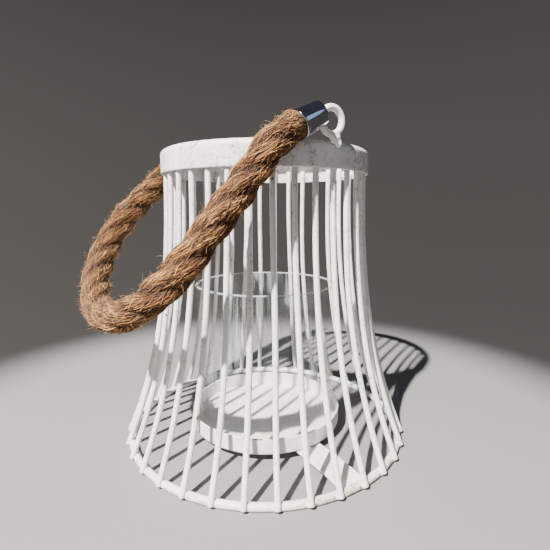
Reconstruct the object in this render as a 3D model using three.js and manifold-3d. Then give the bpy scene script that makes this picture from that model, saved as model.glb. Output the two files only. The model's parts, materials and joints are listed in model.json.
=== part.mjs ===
// Hanging lantern: a flared cage of painted wires under a pressed cap ring, with a tray
// on a strap, a loose glass cylinder in the tray and a rope handle on two welded eyelets.
// Millimetres, +Z up. The origin is on the table, under the middle of the cage.
// Azimuths are measured from the front (-Y) towards +X.
import * as THREE from 'three';
import { mergeVertices } from 'three/addons/utils/BufferGeometryUtils.js';
import Module from 'manifold-3d';

const wasm = await Module();
wasm.setup();
const degree = Math.PI / 180;

// ---- Driving dimensions -------------------------------------------------------------

const gap = 0.3;                   // left between pieces that touch or are welded

const capTopHeight = 228.5;        // cap's top face above the table
const capDiameter = 162;
const capHeight = 17.5;            // band, from its lower edge to the top face
const capSheet = 1.2;
const capCornerRadius = 4;
const capFlangeWidth = 9;          // turned-in top flange, seen from above

const wireCount = 34;
const wireDiameter = 4;
const wireTuck = 10;               // wires reach this far up inside the band
const footDiameter = 230;          // circle through the middles of the wires' ends
const footHeight = 2.3;            // middle of a wire's end above the table
const footWeldDepth = 2;           // each foot is welded this deep into the base ring's side
const flareAngle = 24 * degree;    // lean of a wire at its foot
const flareReach = 85;             // how far up the foot's lean is felt
const neckReach = 60;              // how far down the wire hangs plumb
const firstWireAzimuth = -7 * degree;

const baseRodDiameter = 5.7;

const glassDiameter = 116;
const glassHeight = 117;
const glassWall = 3;
const glassBase = 6;

const trayHeight = 6.4;            // tray's underside above the table
const trayRimHeight = 13;
const traySheet = 1.2;
const trayCornerRadius = 1.8;
const trayPlay = 3.8;              // all round, between the glass and the rim

const strapWidth = 21;
const strapSheet = 1.6;
const strapEndLength = 19.3;       // from each bend to the middle of the base ring
const strapAzimuth = 32 * degree;

const eyeletAzimuth = 30 * degree; // front eyelet; the rear one is opposite
const eyeletWireDiameter = 4.5;
const eyeletHoleDiameter = 11.7;
const eyeletLift = 0.65;           // from the cap's top face up to the ring of the eyelet
const shankReach = 17.2;           // from the eyelet's middle to the shank's blunt end
const shankLean = 24 * degree;     // from plumb, away from the handle

const ferruleLength = 21.6;
const ferruleMouthDiameter = 18.4;
const ferruleEndDiameter = 15.8;
const ferruleWall = 0.9;
const ferruleLipHeight = 0.4;      // rolled lip round the mouth
const ferruleLipWidth = 1.6;
const ferruleTilt = 28 * degree;   // below level, with the handle down
const ferruleRise = 7.3;           // ferrule's axis passes this far above the eyelet's middle
const ferruleStart = 3.4;          // open end, past the eyelet's middle along that axis
const ferruleWireClearance = 0.45; // round the eyelet's wire, where it passes the wall
const ropeEndStart = 8;            // bound rope end, in from the ferrule's open end

const ropeDiameter = 19;
const ropeRoute = [                // middle of the rope, from the front ferrule to the rear
  [19.5, -85.2, 234.1],
  [12.8, -89.1, 230],
  [3.9, -94.6, 221.4],
  [-8.2, -100.2, 204.8],
  [-22, -107, 185],
  [-35, -113, 167],
  [-50, -116, 148],
  [-68, -111, 132],
  [-87, -98, 121],
  [-104, -80, 118],
  [-117, -59, 122],
  [-125, -37, 135],
  [-124, -17, 155],
  [-115, 0, 177],
  [-104, 15, 193],
  [-93, 30, 208],
  [-84.2, 44.2, 220.2],
  [-70.7, 55.6, 230],
  [-64.1, 59.5, 234.1],
];

// Facets
const roundSteps = 72;             // round the cap and the base ring
const dishSteps = 56;              // round the tray and the glass
const smallRoundSteps = 24;        // round the ferrules and the eyelets
const cornerSteps = 2;             // round each corner of the cap and the glass
const bendSteps = 1;               // round each corner of the tray
const rodSides = 8;                // base ring, its seat in each foot, and eyelets
const shankEndSteps = 3;           // round the eyelet's blunt end
const holeSides = 12;              // hole for the eyelet's wire in a ferrule
const wireSides = 8;
const wireSteps = 10;
const ropeSides = 12;
const ropeSteps = 32;

// ---- Sizes that follow --------------------------------------------------------------

const capRadius = capDiameter / 2;
const capBottomHeight = capTopHeight - capHeight;
const wireRadius = wireDiameter / 2;
const baseRodRadius = baseRodDiameter / 2;
const glassRadius = glassDiameter / 2;
const trayRadius = glassRadius + trayPlay + traySheet;
const eyeletWireRadius = eyeletWireDiameter / 2;
const eyeletRadius = eyeletHoleDiameter / 2 + eyeletWireRadius;
const eyeletDistance = capRadius + gap + eyeletWireRadius;
const eyeletHeight = capTopHeight + eyeletLift + eyeletWireRadius + eyeletRadius;

// ---- Finishes -----------------------------------------------------------------------

const whitePaint = { color: 0xe8e4da, roughness: 0.55, metalness: 0 };
const chrome = { color: 0xc9ccd0, roughness: 0.12, metalness: 1 };
const clearGlass = { color: 0xe6f0ec, roughness: 0.05, metalness: 0 };
const jute = { color: 0xa9794a, roughness: 0.95, metalness: 0 };

const lantern = new THREE.Group();

function addPiece(name, geometry, finish, parent = lantern) {
  const mesh = new THREE.Mesh(geometry, new THREE.MeshStandardMaterial(finish));
  mesh.name = name;
  parent.add(mesh);
  return mesh;
}

// ---- Solids and sections ------------------------------------------------------------

function toManifold(geometry) {
  const bare = geometry.clone();
  bare.deleteAttribute('normal');
  bare.deleteAttribute('uv');
  const merged = mergeVertices(bare, 1e-4);
  const mesh = new wasm.Mesh({
    numProp: 3,
    vertProperties: new Float32Array(merged.attributes.position.array),
    triVerts: new Uint32Array(merged.index.array),
  });
  return new wasm.Manifold(mesh);
}

function toGeometry(solid) {
  const mesh = solid.getMesh();
  const geometry = new THREE.BufferGeometry();
  geometry.setAttribute('position', new THREE.BufferAttribute(mesh.vertProperties, 3));
  geometry.setIndex(new THREE.BufferAttribute(mesh.triVerts, 1));
  geometry.computeVertexNormals();
  return geometry;
}

function roundSection(diameter, sides) {
  const corners = [];
  for (let i = 0; i < sides; i += 1) {
    const angle = (i / sides) * 2 * Math.PI;
    corners.push(new THREE.Vector2(Math.cos(angle), Math.sin(angle)).multiplyScalar(diameter / 2));
  }
  return new THREE.Shape(corners);
}

function tubeAlong(curve, diameter, sides, steps) {
  return new THREE.ExtrudeGeometry(roundSection(diameter, sides), { extrudePath: curve, steps });
}

// Revolves a closed outline of radius and height about Y.
function revolve(outline, arcSteps, steps) {
  const points = outline.extractPoints(arcSteps).shape;
  points.push(points[0].clone());
  return new THREE.LatheGeometry(points, steps);
}

// ---- Cap ----------------------------------------------------------------------------

// One pressed ring: a band, a rounded shoulder and a flange turned in over the wires.
function capGeometry() {
  const shoulder = capRadius - capCornerRadius;
  const spring = capTopHeight - capCornerRadius;
  const outline = new THREE.Shape();
  outline.moveTo(capRadius - capSheet, capBottomHeight);
  outline.lineTo(capRadius, capBottomHeight);
  outline.absarc(shoulder, spring, capCornerRadius, 0, Math.PI / 2, false);
  outline.lineTo(capRadius - capFlangeWidth, capTopHeight);
  outline.lineTo(capRadius - capFlangeWidth, capTopHeight - capSheet);
  outline.absarc(shoulder, spring, capCornerRadius - capSheet, Math.PI / 2, 0, true);
  return revolve(outline, cornerSteps, roundSteps).rotateX(Math.PI / 2);
}

addPiece('cap_ring', capGeometry(), whitePaint);

// ---- Cage wires ---------------------------------------------------------------------

// The base ring's rod stands on the table, welded into the inner side of the feet. Its
// radius follows from where the wires lean past its middle.
const baseRingLevel = footDiameter / 2 - (baseRodRadius - footHeight) * Math.tan(flareAngle);
const baseStandOff = (baseRodRadius + gap + wireRadius - footWeldDepth) / Math.cos(flareAngle);
const baseRingRadius = baseRingLevel - baseStandOff;

// Every wire hangs plumb from inside the cap and flares out to its foot, which is cut
// square a little above the table.
function wireCurve() {
  const topRadius = capRadius - capSheet - gap - wireRadius;
  const top = new THREE.Vector3(0, -topRadius, capBottomHeight + wireTuck);
  const foot = new THREE.Vector3(0, -footDiameter / 2, footHeight);
  const neck = top.clone().add(new THREE.Vector3(0, 0, -neckReach));
  const lean = new THREE.Vector3(0, Math.sin(flareAngle), Math.cos(flareAngle));
  const flare = foot.clone().addScaledVector(lean, flareReach);
  return new THREE.CubicBezierCurve3(top, neck, flare, foot);
}

// The foot's inner side is hollowed to a seat for the base ring's rod.
function wireGeometry() {
  const seatRadius = baseRodRadius + gap;
  const seat = new THREE.CylinderGeometry(seatRadius, seatRadius, 2 * wireDiameter, rodSides);
  seat.rotateZ(Math.PI / 2);
  seat.translate(0, -baseRingRadius, baseRodRadius);
  const wire = tubeAlong(wireCurve(), wireDiameter, wireSides, wireSteps);
  return toGeometry(toManifold(wire).subtract(toManifold(seat)));
}

function addWires() {
  const geometry = wireGeometry();
  for (let i = 0; i < wireCount; i += 1) {
    const wire = addPiece(`wire_${String(i + 1).padStart(2, '0')}`, geometry, whitePaint);
    wire.rotation.z = firstWireAzimuth + (i / wireCount) * 2 * Math.PI;
  }
}

addWires();

// ---- Base ring ----------------------------------------------------------------------

const baseRing = addPiece(
  'base_ring',
  new THREE.TorusGeometry(baseRingRadius, baseRodRadius, rodSides, roundSteps),
  whitePaint,
);
baseRing.position.z = baseRodRadius;

// ---- Tray and strap -----------------------------------------------------------------

// A shallow dish: flat floor, small corner radius, plain upright rim.
function trayGeometry() {
  const bend = trayRadius - trayCornerRadius;
  const rimHeight = trayHeight + trayRimHeight;
  const outline = new THREE.Shape();
  outline.moveTo(0, trayHeight);
  outline.absarc(bend, trayHeight + trayCornerRadius, trayCornerRadius, -Math.PI / 2, 0, false);
  outline.lineTo(trayRadius, rimHeight);
  outline.lineTo(trayRadius - traySheet, rimHeight);
  outline.absarc(
    bend, trayHeight + trayCornerRadius, trayCornerRadius - traySheet, 0, -Math.PI / 2, true,
  );
  outline.lineTo(0, trayHeight + traySheet);
  return revolve(outline, bendSteps, dishSteps).rotateX(Math.PI / 2);
}

// A flat strip right across the base. It is level under the tray and bends down on each
// side to the middle of the base ring's rod, where its ends are cut round to meet it.
function strapGeometry() {
  const reach = baseRingRadius;
  const half = reach - strapEndLength;
  const top = trayHeight - gap;
  const endTop = baseRodRadius + strapSheet / 2;
  const side = new THREE.Shape();
  side.moveTo(-reach, endTop);
  side.lineTo(-half, top);
  side.lineTo(half, top);
  side.lineTo(reach, endTop);
  side.lineTo(reach, endTop - strapSheet);
  side.lineTo(half, top - strapSheet);
  side.lineTo(-half, top - strapSheet);
  side.lineTo(-reach, endTop - strapSheet);
  const strip = new THREE.ExtrudeGeometry(side, { depth: strapWidth, bevelEnabled: false });
  strip.translate(0, 0, -strapWidth / 2).rotateX(Math.PI / 2);
  strip.rotateZ(strapAzimuth + Math.PI / 2);
  const trimRadius = baseRingRadius - baseRodRadius - gap;
  const trimHeight = 2 * (trayHeight + strapWidth);
  const trim = new THREE.CylinderGeometry(trimRadius, trimRadius, trimHeight, 2 * roundSteps);
  trim.rotateX(Math.PI / 2);
  return toGeometry(toManifold(strip).intersect(toManifold(trim)));
}

addPiece('tray', trayGeometry(), whitePaint);
addPiece('tray_strap', strapGeometry(), whitePaint);

// ---- Glass --------------------------------------------------------------------------

// A plain cylinder with a flat bottom. It stands loose in the tray.
function glassGeometry() {
  const floor = trayHeight + traySheet + gap;
  const round = glassWall / 2;
  const heel = glassWall;
  const outline = new THREE.Shape();
  outline.moveTo(0, floor);
  outline.absarc(glassRadius - heel, floor + heel, heel, -Math.PI / 2, 0, false);
  outline.absarc(glassRadius - round, floor + glassHeight - round, round, 0, Math.PI, false);
  outline.lineTo(glassRadius - glassWall, floor + glassBase);
  outline.lineTo(0, floor + glassBase);
  return revolve(outline, cornerSteps, dishSteps).rotateX(Math.PI / 2);
}

addPiece('glass_cylinder', glassGeometry(), clearGlass);

// ---- Eyelets ------------------------------------------------------------------------

// Both ends of the handle share one frame: -Y here points at the front eyelet, and the
// handle leans towards -X. The rear end is the front end mirrored.
const handleFrame = new THREE.Group();
handleFrame.rotation.z = eyeletAzimuth;
lantern.add(handleFrame);

// Bent from one rod: a ring above the cap, then a leaning shank laid on the band's face.
function eyeletGeometry() {
  const ring = new THREE.TorusGeometry(eyeletRadius, eyeletWireRadius, rodSides, smallRoundSteps);
  ring.rotateX(Math.PI / 2);
  const length = shankReach - eyeletRadius - eyeletWireRadius;
  const shank = new THREE.CapsuleGeometry(eyeletWireRadius, length, shankEndSteps, rodSides);
  shank.rotateX(Math.PI / 2);
  shank.translate(0, 0, -eyeletRadius - length / 2);
  shank.rotateY(-shankLean);
  return toGeometry(toManifold(ring).add(toManifold(shank)));
}

const eyelet = eyeletGeometry();
for (const [name, side] of [['eyelet_front', -1], ['eyelet_rear', 1]]) {
  const mesh = addPiece(name, eyelet, whitePaint, handleFrame);
  mesh.position.set(0, side * eyeletDistance, eyeletHeight);
}

// ---- Ferrules -----------------------------------------------------------------------

// Ferrules and rope ends are built about +X from the open end to the mouth, then laid
// along the ferrule's axis beside the eyelet's middle.
function layAlongFerrule(geometry) {
  geometry.rotateZ(-Math.PI / 2);
  geometry.translate(ferruleStart, 0, 0);
  geometry.rotateX(Math.PI / 2);
  geometry.translate(0, 0, ferruleRise);
  geometry.rotateY(ferruleTilt);
  return geometry.rotateZ(Math.PI);
}

// A drawn tube, a little wider at the mouth, which is lipped. The eyelet's wire comes in
// at the open end and leaves through a hole in the wall below.
function ferruleGeometry() {
  const endRadius = ferruleEndDiameter / 2;
  const mouthRadius = ferruleMouthDiameter / 2;
  const neck = ferruleLength - ferruleLipWidth;
  const outline = new THREE.Shape();
  outline.moveTo(endRadius - ferruleWall, 0);
  outline.lineTo(endRadius, 0);
  outline.lineTo(mouthRadius - ferruleLipHeight, neck);
  outline.lineTo(mouthRadius, neck + ferruleLipWidth / 4);
  outline.lineTo(mouthRadius, ferruleLength - ferruleLipWidth / 4);
  outline.lineTo(mouthRadius - ferruleLipHeight, ferruleLength);
  outline.lineTo(mouthRadius - ferruleLipHeight - ferruleWall, ferruleLength);
  const tube = layAlongFerrule(revolve(outline, bendSteps, smallRoundSteps));
  const cutRadius = eyeletWireRadius + ferruleWireClearance;
  const cut = new THREE.TorusGeometry(eyeletRadius, cutRadius, holeSides, 2 * smallRoundSteps);
  cut.rotateX(Math.PI / 2);
  return toGeometry(toManifold(tube).subtract(toManifold(cut)));
}

// Bound end of the rope, pressed into the ferrule as far as the eyelet's wire allows.
function ropeEndGeometry() {
  const inner = (distance) => THREE.MathUtils.mapLinear(
    distance, 0, ferruleLength - ferruleLipWidth,
    ferruleEndDiameter / 2 - ferruleWall - gap,
    ferruleMouthDiameter / 2 - ferruleLipHeight - ferruleWall - gap,
  );
  const length = ferruleLength - ropeEndStart;
  const plug = new THREE.CylinderGeometry(
    inner(ferruleLength - ferruleLipWidth), inner(ropeEndStart), length, smallRoundSteps,
  );
  plug.translate(0, ropeEndStart + length / 2, 0);
  return layAlongFerrule(plug);
}

const ferrule = ferruleGeometry();
const ropeEnd = ropeEndGeometry();
for (const [place, side] of [['front', -1], ['rear', 1]]) {
  const fitted = new THREE.Group();
  fitted.position.set(0, side * eyeletDistance, eyeletHeight);
  handleFrame.add(fitted);
  addPiece(`ferrule_${place}`, ferrule, chrome, fitted);
  addPiece(`rope_end_${place}`, ropeEnd, jute, fitted);
}

// ---- Rope handle --------------------------------------------------------------------

// The rope runs from mouth to mouth and droops over the left of the cage.
const ropeCurve = new THREE.CatmullRomCurve3(ropeRoute.map((point) => new THREE.Vector3(...point)));
addPiece('rope_handle', tubeAlong(ropeCurve, ropeDiameter, ropeSides, ropeSteps), jute);

export default lantern;
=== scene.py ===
# Hanging lantern: the looks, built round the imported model.
# Metres, +Z up, the front is -Y. Each piece takes the place of a plain one, and weld
# beads, lying fibres and loose hairs are added.
import json
import math
import random

import bpy
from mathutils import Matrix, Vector, noise


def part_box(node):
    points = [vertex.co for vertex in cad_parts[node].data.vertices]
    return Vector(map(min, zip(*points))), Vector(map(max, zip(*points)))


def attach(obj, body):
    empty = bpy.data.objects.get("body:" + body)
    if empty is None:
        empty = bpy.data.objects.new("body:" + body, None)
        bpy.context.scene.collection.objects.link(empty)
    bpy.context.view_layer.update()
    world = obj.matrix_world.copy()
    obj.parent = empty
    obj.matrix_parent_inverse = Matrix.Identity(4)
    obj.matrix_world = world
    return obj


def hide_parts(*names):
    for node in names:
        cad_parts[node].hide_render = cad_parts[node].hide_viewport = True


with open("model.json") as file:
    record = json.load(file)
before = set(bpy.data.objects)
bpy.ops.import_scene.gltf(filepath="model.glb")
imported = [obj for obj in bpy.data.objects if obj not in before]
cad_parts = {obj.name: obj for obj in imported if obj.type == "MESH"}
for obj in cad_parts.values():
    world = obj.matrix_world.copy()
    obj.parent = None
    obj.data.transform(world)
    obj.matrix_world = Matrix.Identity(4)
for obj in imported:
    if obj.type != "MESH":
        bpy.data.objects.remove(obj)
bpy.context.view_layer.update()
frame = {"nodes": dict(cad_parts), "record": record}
print("frame loaded:", len(frame["nodes"]), "nodes")

up = Vector((0, 0, 1))

# Camera

view = {
    "place": (0, -0.3398, 0.1844),
    "pitchDown": 8.99,  # degrees
    "turnRight": 1.36,
    "lens": 26.87,  # mm, on a 36 mm sensor
    "sensor": 36,
}

lens = bpy.data.cameras.new("camera")
lens.lens = view["lens"]
lens.sensor_width = view["sensor"]
lens.clip_start = 0.01
camera = bpy.data.objects.new("camera", lens)
camera.location = view["place"]
pitch = math.radians(90 - view["pitchDown"])
camera.rotation_euler = (pitch, 0, math.radians(-view["turnRight"]))
bpy.context.scene.collection.objects.link(camera)
bpy.context.scene.camera = camera
print("camera placed")

# Mesh helpers


def addMesh(name, points, faces, material=None):
    mesh = bpy.data.meshes.new(name)
    mesh.from_pydata([tuple(point) for point in points], [], faces)
    mesh.polygons.foreach_set("use_smooth", [True] * len(mesh.polygons))
    if material:
        mesh.materials.append(material)
    mesh.validate()
    mesh.update()
    made = bpy.data.objects.new(name, mesh)
    bpy.context.scene.collection.objects.link(made)
    return made


def setAttribute(piece, name, values):
    # a number or a vector for each point of the mesh
    if isinstance(values[0], Vector):
        layer = piece.data.attributes.new(name, "FLOAT_VECTOR", "POINT")
        layer.data.foreach_set("vector", [part for value in values for part in value])
    else:
        layer = piece.data.attributes.new(name, "FLOAT", "POINT")
        layer.data.foreach_set("value", values)


def addPiece(name, points, faces, material, body, slot, replaced=(), **layers):
    piece = addMesh(name, points, faces, material)
    for layer, values in layers.items():
        setAttribute(piece, layer, values)
    if replaced:
        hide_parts(*replaced)
    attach(piece, body)
    return piece


def stitchRings(ringCount, sides, closed=False):
    # quads between neighbouring rings of points, and flat ends where the row is open
    faces = []
    for i in range(ringCount if closed else ringCount - 1):
        here = i * sides
        after = (i + 1) % ringCount * sides
        for j in range(sides):
            k = (j + 1) % sides
            faces.append((here + j, here + k, after + k, after + j))
    if not closed:
        last = (ringCount - 1) * sides
        faces.append(tuple(reversed(range(sides))))
        faces.append(tuple(range(last, last + sides)))
    return faces


def gather(points, faces, morePoints, moreFaces):
    # adds one mesh's points and faces to another's
    faces += [tuple(len(points) + corner for corner in face) for face in moreFaces]
    points += morePoints


def revolve(outline, steps, closed=True):
    # turns an outline of (radius, height) about Z; points on the axis make caps
    points = []
    faces = []
    rows = []
    for radius, height in outline:
        if radius < 1e-7:
            rows.append([len(points)])
            points.append(Vector((0, 0, height)))
            continue
        rows.append(list(range(len(points), len(points) + steps)))
        for j in range(steps):
            angle = 2 * math.pi * j / steps
            points.append(Vector((radius * math.cos(angle), radius * math.sin(angle), height)))
    for i in range(len(rows) if closed else len(rows) - 1):
        a = rows[i]
        b = rows[(i + 1) % len(rows)]
        if len(a) == 1 and len(b) == 1:
            continue
        for j in range(steps):
            k = (j + 1) % steps
            if len(a) == 1:
                faces.append((a[0], b[k], b[j]))
            elif len(b) == 1:
                faces.append((a[j], a[k], b[0]))
            else:
                faces.append((a[j], a[k], b[k], b[j]))
    return points, faces


def arc(centre, radius, start, end, steps):
    # points of (radius, height) round a centre, angles in degrees
    made = []
    for i in range(steps + 1):
        angle = math.radians(start + (end - start) * i / steps)
        made.append((centre[0] + radius * math.cos(angle), centre[1] + radius * math.sin(angle)))
    return made


def framesAlong(path):
    # a direction, a side and a second side at each point, turning as little as it can
    count = len(path)
    ways = []
    for i in range(count):
        ways.append((path[min(i + 1, count - 1)] - path[max(i - 1, 0)]).normalized())
    side = ways[0].orthogonal().normalized()
    made = []
    for way in ways:
        side = (side - way * side.dot(way)).normalized()
        made.append((way, side, way.cross(side)))
    return made


def turned(first, second, angle):
    # a direction at an angle from the first towards the second
    return first * math.cos(angle) + second * math.sin(angle)


def smooth(value):
    # eases from 0 to 1
    value = min(1.0, max(0.0, value))
    return value * value * (3 - 2 * value)


def wander(point, scale, seed=0.0):
    return noise.noise(point * scale + Vector((seed, 7.3 * seed, -3.1 * seed)))


# Node helpers


def addNode(tree, kind, inputs=None, **settings):
    made = tree.nodes.new("ShaderNode" + kind)
    for name, value in settings.items():
        setattr(made, name, value)
    for name, value in (inputs or {}).items():
        if isinstance(value, bpy.types.NodeSocket):
            tree.links.new(value, made.inputs[name])
        else:
            made.inputs[name].default_value = value
    return made


def startMaterial(name):
    material = bpy.data.materials.new(name)
    material.use_nodes = True
    tree = material.node_tree
    return material, tree, tree.nodes["Principled BSDF"]


def objectPlace(tree):
    return addNode(tree, "TexCoord").outputs["Object"]


def attributeOf(tree, name, output="Fac"):
    return addNode(tree, "Attribute", attribute_name=name).outputs[output]


def noiseOf(tree, place, scale, detail=4.0, roughness=0.5):
    inputs = {"Vector": place, "Scale": scale, "Detail": detail, "Roughness": roughness}
    return addNode(tree, "TexNoise", inputs).outputs["Fac"]


def stretch(tree, value, low, high, toLow=0.0, toHigh=1.0):
    inputs = {0: value, 1: low, 2: high, 3: toLow, 4: toHigh}
    return addNode(tree, "MapRange", inputs).outputs["Result"]


def swayOf(tree, value, reach):
    # a noise's useful part as a change either way
    return stretch(tree, value, 0.3, 0.7, -reach, reach)


def calculate(tree, operation, a, b):
    return addNode(tree, "Math", {0: a, 1: b}, operation=operation).outputs["Value"]


def roughen(tree, shader, height, strength, distance):
    bump = addNode(tree, "Bump", {"Height": height, "Strength": strength, "Distance": distance})
    tree.links.new(bump.outputs["Normal"], shader.inputs["Normal"])


def blendColour(tree, factor, first, second):
    def asColour(value):
        return (*value, 1) if isinstance(value, tuple) and len(value) == 3 else value

    inputs = {0: factor, 6: asColour(first), 7: asColour(second)}
    return addNode(tree, "Mix", inputs, data_type="RGBA").outputs[2]


def rampOf(tree, value, stops):
    # a colour ramp through (place, colour) stops
    made = addNode(tree, "ValToRGB", {"Fac": value})
    elements = made.color_ramp.elements
    for _ in range(len(stops) - 2):
        elements.new(0.5)
    for element, (place, colour) in zip(elements, stops):
        element.position = place
        element.color = (*colour, 1)
    return made.outputs["Color"]


# Jute

jute = {
    "tones": [  # from the dark fibres and the painted shade deep in the grooves to the fairest fibres
        (0.0, (0.026, 0.009, 0.003)),
        (0.30, (0.120, 0.044, 0.011)),
        (0.60, (0.29, 0.129, 0.038)),
        (0.95, (0.60, 0.345, 0.140)),
    ],
    "fibreScale": 1100,
    "fibreContrast": 0.34,
    "tuftScale": 150,
    "tuftContrast": 0.10,
    # strength of the painted shade in the grooves between the strands
    "paintedGrooveShade": 0.50,
    "roughness": 0.85,
    "sheen": 0.06,
    "fibreBump": 0.8,
}


def juteMaterial():
    # shade says how fair each fibre is, and the groove value is painted shade that grows the
    # deeper a point lies between the strands
    material, tree, shader = startMaterial("twistedJute")
    run = attributeOf(tree, "fibreRun", "Vector")
    depth = attributeOf(tree, "groove")
    shade = attributeOf(tree, "shade")
    fibreTone = noiseOf(tree, run, jute["fibreScale"], 4, 0.6)
    tufts = noiseOf(tree, run, jute["tuftScale"], 3)
    for part, contrast in ((fibreTone, "fibreContrast"), (tufts, "tuftContrast")):
        shade = calculate(tree, "ADD", shade, swayOf(tree, part, jute[contrast]))
    # painted shade: darker the deeper the jute lies between the strands
    paintedShade = calculate(tree, "MULTIPLY", depth, jute["paintedGrooveShade"])
    tone = calculate(tree, "SUBTRACT", shade, paintedShade)
    tree.links.new(rampOf(tree, tone, jute["tones"]), shader.inputs["Base Color"])
    shader.inputs["Roughness"].default_value = jute["roughness"]
    shader.inputs["Sheen Weight"].default_value = jute["sheen"]
    roughen(tree, shader, fibreTone, jute["fibreBump"], 0.0005)
    return material


juteFinish = juteMaterial()

# Rope

rope = {
    "diameter": 0.019,
    "length": 0.3996,  # mouth to mouth
    "lay": 0.062,  # one turn of a strand
    "strands": 3,
    "strandRadius": 0.0063,
    "sides": 144,
    "step": 0.0006,
    "skinGap": 0.0001,  # how far the skin stays inside the diameter
    "yarnRelief": 0.00045,
    "yarnScale": 900,
    "yarnShade": (0.34, 0.22),  # mean and spread
    "tuftRelief": 0.00075,
    "tuftScale": (110, 55),  # round the rope and along it
    # painted shade in the grooves: how fast it grows with the depth, and how much a standing tuft
    # takes off
    "tuftShade": 0.3,
    "paintedGrooveShade": 5.0,
    "swell": 0.035,
    "swellScale": 60,
    "fibreTurn": 0.30,  # of the strands' turn
    "fibreStretch": 0.14,  # how slowly the fibres' tone changes along the rope
    "endEase": 0.010,  # over which the strands close up at a ferrule
    "endGroove": 0.3,  # share of the grooves' depth that is left there
    "endSqueeze": 0.10,
    "squeezeEase": 0.4,  # of endEase
    # the middle of the rope, from the front ferrule to the rear
    "route": [
        (0.0195, -0.0852, 0.2341),
        (0.0128, -0.0891, 0.2300),
        (0.0039, -0.0946, 0.2214),
        (-0.0082, -0.1002, 0.2048),
        (-0.0220, -0.1070, 0.1850),
        (-0.0350, -0.1130, 0.1670),
        (-0.0500, -0.1160, 0.1480),
        (-0.0680, -0.1110, 0.1320),
        (-0.0870, -0.0980, 0.1210),
        (-0.1040, -0.0800, 0.1180),
        (-0.1170, -0.0590, 0.1220),
        (-0.1250, -0.0370, 0.1350),
        (-0.1240, -0.0170, 0.1550),
        (-0.1150, 0.0000, 0.1770),
        (-0.1040, 0.0150, 0.1930),
        (-0.0930, 0.0300, 0.2080),
        (-0.0842, 0.0442, 0.2202),
        (-0.0707, 0.0556, 0.2300),
        (-0.0641, 0.0595, 0.2341),
    ],
}


def onLine(a, b, start, end, t):
    # the point at t of a line that is at a at start and at b at end
    return a * ((end - t) / (end - start)) + b * ((t - start) / (end - start))


def curveThrough(points, perSpan=40):
    # centripetal spline through the points
    knots = [Vector(point) for point in points]
    knots = [2 * knots[0] - knots[1], *knots, 2 * knots[-1] - knots[-2]]
    made = []
    for i in range(1, len(knots) - 2):
        p0, p1, p2, p3 = knots[i - 1 : i + 3]
        t0 = 0.0
        t1 = t0 + (p1 - p0).length ** 0.5
        t2 = t1 + (p2 - p1).length ** 0.5
        t3 = t2 + (p3 - p2).length ** 0.5
        for j in range(perSpan):
            t = t1 + (t2 - t1) * j / perSpan
            a1 = onLine(p0, p1, t0, t1, t)
            a2 = onLine(p1, p2, t1, t2, t)
            a3 = onLine(p2, p3, t2, t3, t)
            b1 = onLine(a1, a2, t0, t2, t)
            b2 = onLine(a2, a3, t1, t3, t)
            made.append(onLine(b1, b2, t1, t2, t))
    made.append(knots[-2])
    return made


def evenly(path, step):
    # the same line with points at equal distances
    runs = [0.0]
    for a, b in zip(path, path[1:]):
        runs.append(runs[-1] + (b - a).length)
    count = max(2, round(runs[-1] / step))
    made = []
    i = 0
    for n in range(count + 1):
        target = runs[-1] * n / count
        while i < len(runs) - 2 and runs[i + 1] < target:
            i += 1
        share = (target - runs[i]) / (runs[i + 1] - runs[i])
        made.append(path[i].lerp(path[i + 1], share))
    return made


def ropeSkinAt(run, angle, radius, toEnd):
    # distance of the skin from the rope's middle, and the painted shade it gets from lying deep in
    # a groove
    strand = rope["strandRadius"] / (rope["diameter"] / 2) * radius
    offset = radius - strand
    part = 2 * math.pi / rope["strands"]
    local = (angle - 2 * math.pi * run / rope["lay"] + part / 2) % part - part / 2
    reach = offset * math.cos(local) + math.sqrt(strand**2 - (offset * math.sin(local)) ** 2)
    depth = (radius - reach) / radius
    opened = smooth(toEnd / rope["endEase"])
    depth *= rope["endGroove"] + (1 - rope["endGroove"]) * opened
    easing = smooth(toEnd / (rope["squeezeEase"] * rope["endEase"]))
    squeeze = 1 - rope["endSqueeze"] * (1 - easing)
    around = Vector((math.cos(angle), math.sin(angle), 0)) * radius
    across, along = rope["tuftScale"]
    tuft = wander(around * across + Vector((0, 0, run * along)), 1.0, 4.0)
    swell = 1 + rope["swell"] * wander(Vector((0, 0, run)), rope["swellScale"], 9.0)
    reach = radius * (1 - depth) * squeeze * swell + rope["tuftRelief"] * tuft
    # painted shade: darker deep between the strands, lighter where a tuft stands out
    shade = depth * rope["paintedGrooveShade"] - 0.1 - rope["tuftShade"] * tuft
    return reach, min(1.0, max(0.0, shade))


def emptyLayers():
    # what the jute's material reads at each point
    return {"fibreRun": [], "groove": [], "shade": []}


def ropeSkin(path, radius, eased):
    # points, faces and attributes of a twisted rope along a path
    sides = rope["sides"]
    points = []
    layers = emptyLayers()
    step = (path[1] - path[0]).length
    for i, (middle, (_, side, other)) in enumerate(zip(path, framesAlong(path))):
        run = i * step
        toEnd = min(i, len(path) - 1 - i) * step if eased else 1.0
        turn = 2 * math.pi * run / rope["lay"]
        for j in range(sides):
            angle = 2 * math.pi * j / sides
            reach, groove = ropeSkinAt(run, angle, radius, toEnd)
            # fibres run nearly along the rope
            lean = angle - rope["fibreTurn"] * turn
            fibre = Vector((math.cos(lean), math.sin(lean), 0)) * radius
            fibre.z = run * rope["fibreStretch"]
            yarn = wander(fibre, rope["yarnScale"], 2.0)
            reach += rope["yarnRelief"] * yarn
            points.append(middle + turned(side, other, angle) * reach)
            layers["fibreRun"].append(fibre)
            layers["groove"].append(groove)
            layers["shade"].append(rope["yarnShade"][0] + rope["yarnShade"][1] * yarn)
    return points, stitchRings(len(path), sides), layers


def addJute(name, points, faces, layers, replaced=()):
    return addPiece(name, points, faces, juteFinish, "handle", "rope_jute", replaced, **layers)


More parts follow.
